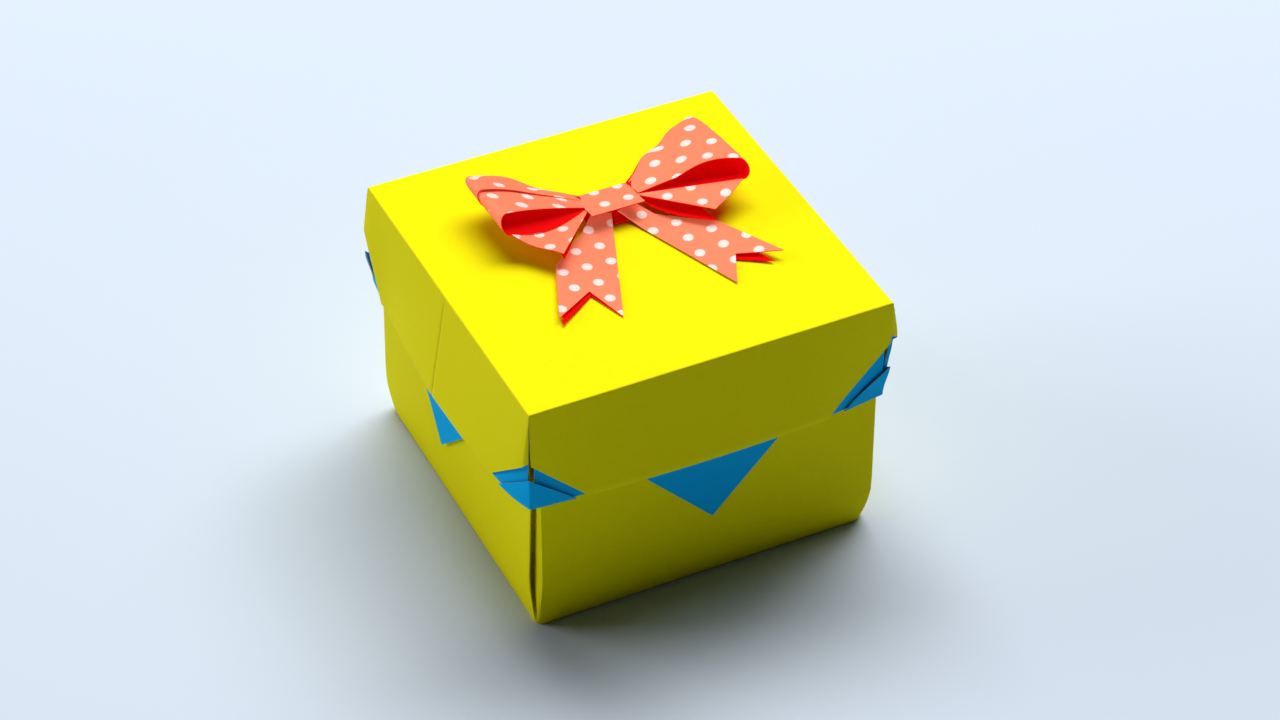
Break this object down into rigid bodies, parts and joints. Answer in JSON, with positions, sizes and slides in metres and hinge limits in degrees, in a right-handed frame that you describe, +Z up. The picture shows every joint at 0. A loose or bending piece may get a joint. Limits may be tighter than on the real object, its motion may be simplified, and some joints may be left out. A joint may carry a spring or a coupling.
{
  "type": "origami gift box",
  "caption": "Square gift box folded from two-colour paper, with a lift-off lid, blue corner flaps and a folded polka-dot bow on top.",
  "frame": {"origin": "middle of the floor's underside, on the surface that the box stands on", "axes": "+Z up, front wall facing -Y, bow's knot along X"},
  "size_m": [0.093, 0.0892, 0.0726],
  "materials": {
    "base_paper": "matte yellow paper, blue on its reverse",
    "lid_paper": "matte yellow paper, blue on its reverse",
    "bow_paper": "smooth coral paper with white dots, plain red on its reverse"
  },
  "bodies": {
    "base": {"box_base": "base_paper"},
    "lid": {"box_lid": "lid_paper", "bow": "bow_paper"}
  },
  "joints": [
    {"name": "lid_lift", "type": "slide", "parent": "base", "child": "lid", "axis": [0, 0, 1], "range_m": [0, 0.04]}
  ]
}
